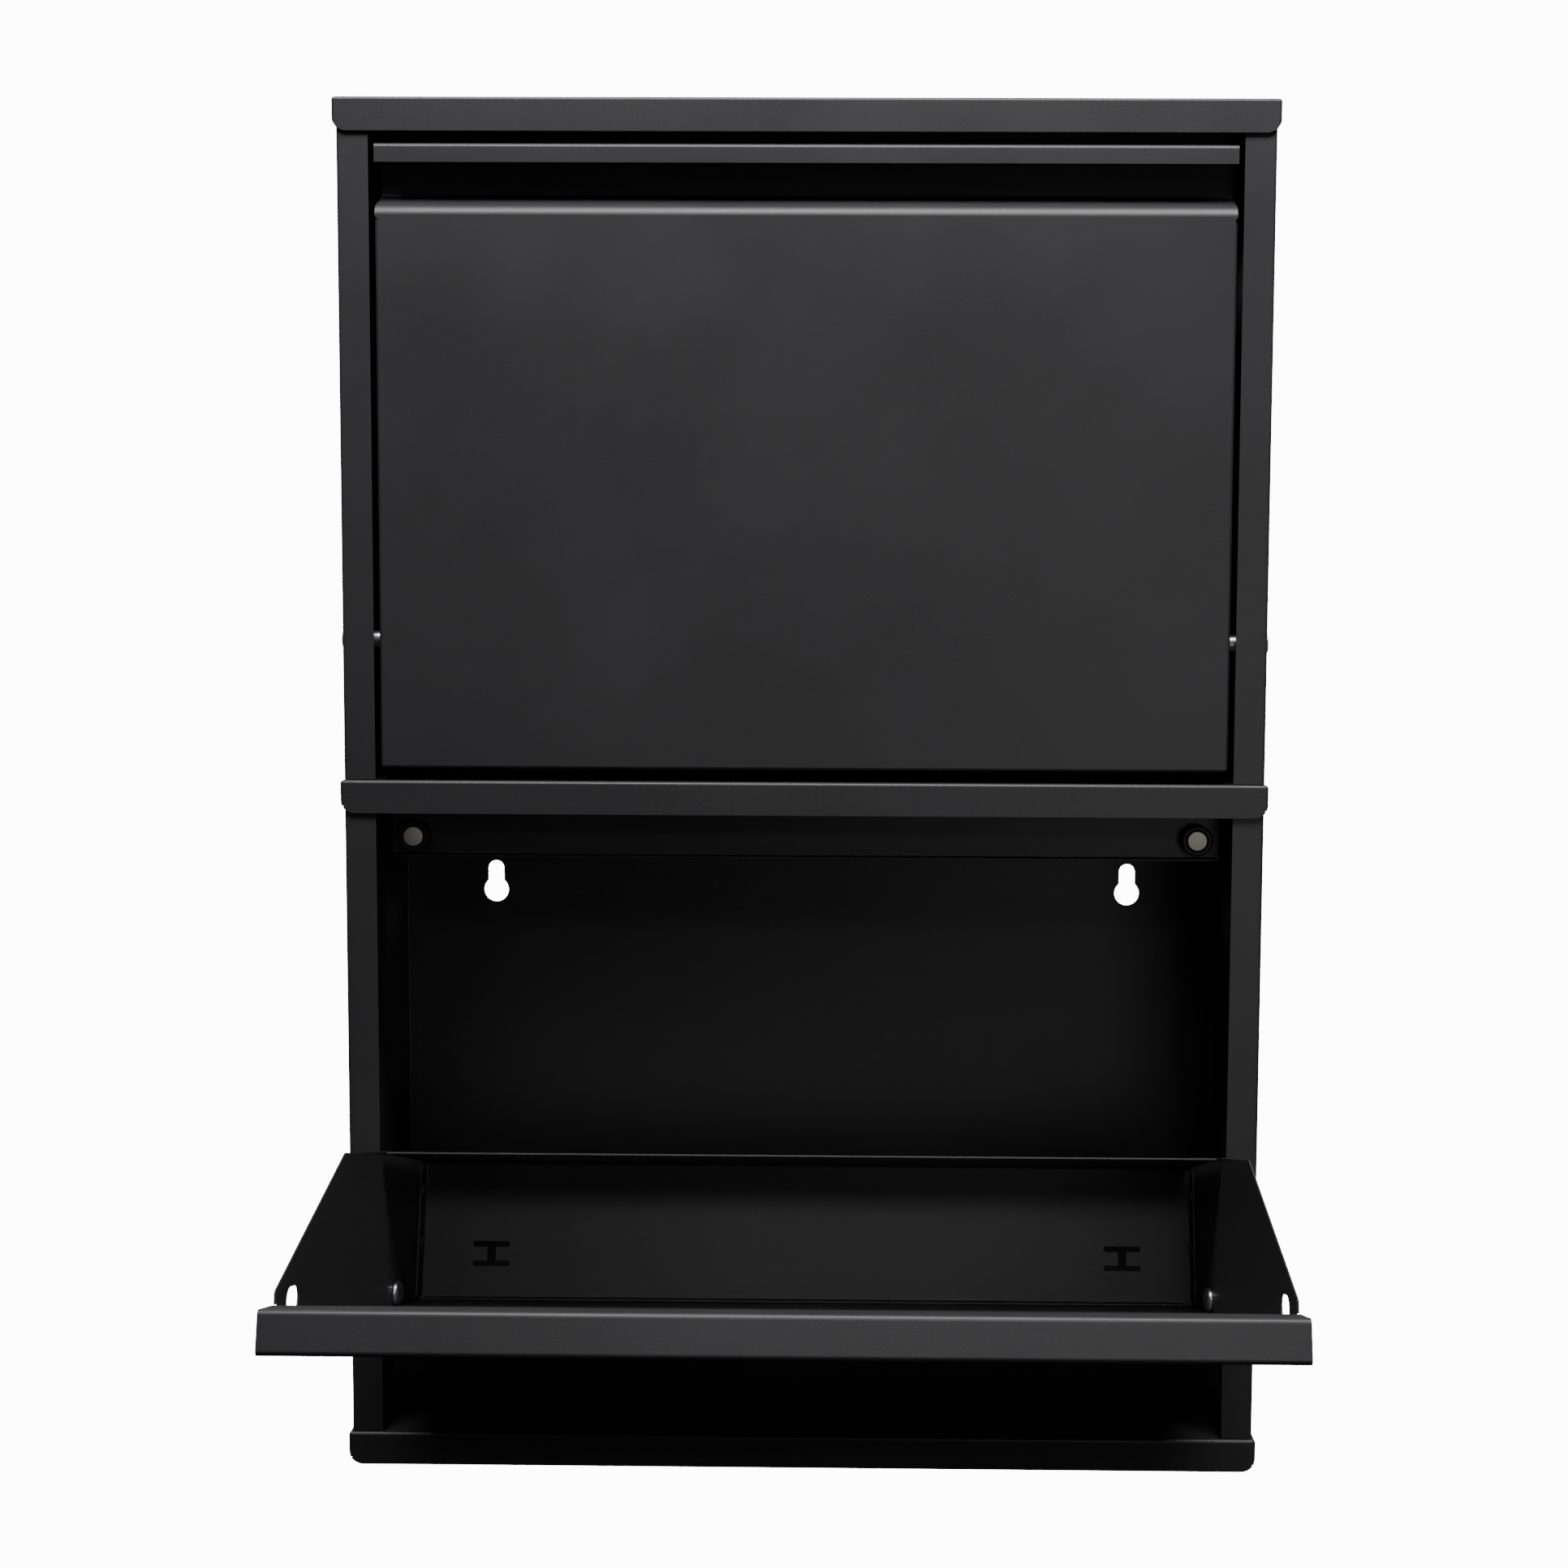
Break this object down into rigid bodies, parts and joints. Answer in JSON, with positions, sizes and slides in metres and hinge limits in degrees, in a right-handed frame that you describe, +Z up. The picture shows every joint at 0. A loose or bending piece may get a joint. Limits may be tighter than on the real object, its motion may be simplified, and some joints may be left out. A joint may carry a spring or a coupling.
{
  "type": "tilt-out wall cabinet",
  "caption": "Slim wall cabinet of folded sheet steel: stacked modules, each with a bin that tilts out on side pivots and is held shut by magnets.",
  "frame": {"origin": "on the wall plane, midway between the upper module's keyholes, at the height of the screws they hang on", "axes": "+Z up, +Y into the wall, the bins open towards -Y, +X to the right when facing the cabinet"},
  "size_m": [0.5, 0.397, 0.74],
  "materials": {
    "black_powder_coat": "satin fine-texture powder coat",
    "zinc_steel": "zinc plated",
    "dark_rivet": "coated over with the sheet",
    "nickel_magnet": "nickel plated",
    "black_plastic": "moulded, matt"
  },
  "bodies": {
    "cabinet": {"base_cap": "black_powder_coat", "middle_cap": "black_powder_coat", "top_cap": "black_powder_coat", "lower_back_panel": "black_powder_coat", "lower_magnet_rail": "black_powder_coat", "lower_left_side_panel": "black_powder_coat", "lower_left_magnet_cup": "black_plastic", "lower_left_magnet": "nickel_magnet", "lower_left_pivot_pin": "zinc_steel", "lower_left_pivot_cap": "zinc_steel", "lower_left_front_screw": "zinc_steel", "lower_left_rear_screw": "zinc_steel", "lower_right_side_panel": "black_powder_coat", "lower_right_magnet_cup": "black_plastic", "lower_right_magnet": "nickel_magnet", "lower_right_pivot_pin": "zinc_steel", "lower_right_pivot_cap": "zinc_steel", "lower_right_front_screw": "zinc_steel", "lower_right_rear_screw": "zinc_steel", "upper_back_panel": "black_powder_coat", "upper_magnet_rail": "black_powder_coat", "upper_left_side_panel": "black_powder_coat", "upper_left_magnet_cup": "black_plastic", "upper_left_magnet": "nickel_magnet", "upper_left_pivot_pin": "zinc_steel", "upper_left_pivot_cap": "zinc_steel", "upper_left_front_screw": "zinc_steel", "upper_left_rear_screw": "zinc_steel", "upper_right_side_panel": "black_powder_coat", "upper_right_magnet_cup": "black_plastic", "upper_right_magnet": "nickel_magnet", "upper_right_pivot_pin": "zinc_steel", "upper_right_pivot_cap": "zinc_steel", "upper_right_front_screw": "zinc_steel", "upper_right_rear_screw": "zinc_steel"},
    "lower_bin": {"lower_front_panel": "black_powder_coat", "lower_tray": "black_powder_coat", "lower_left_wing": "black_powder_coat", "lower_left_front_rivet": "dark_rivet", "lower_left_rear_rivet": "dark_rivet", "lower_right_wing": "black_powder_coat", "lower_right_front_rivet": "dark_rivet", "lower_right_rear_rivet": "dark_rivet"},
    "upper_bin": {"upper_front_panel": "black_powder_coat", "upper_tray": "black_powder_coat", "upper_left_wing": "black_powder_coat", "upper_left_front_rivet": "dark_rivet", "upper_left_rear_rivet": "dark_rivet", "upper_right_wing": "black_powder_coat", "upper_right_front_rivet": "dark_rivet", "upper_right_rear_rivet": "dark_rivet"}
  },
  "joints": [
    {"name": "upper_bin_tilt", "type": "hinge", "parent": "cabinet", "child": "upper_bin", "pos_m": [0, -0.141, -0.2205], "axis": [1, 0, 0], "range_deg": [0, 76]},
    {"name": "lower_bin_tilt", "type": "hinge", "parent": "cabinet", "child": "lower_bin", "pos_m": [0, -0.141, -0.5815], "axis": [1, 0, 0], "range_deg": [-76, 0]}
  ]
}
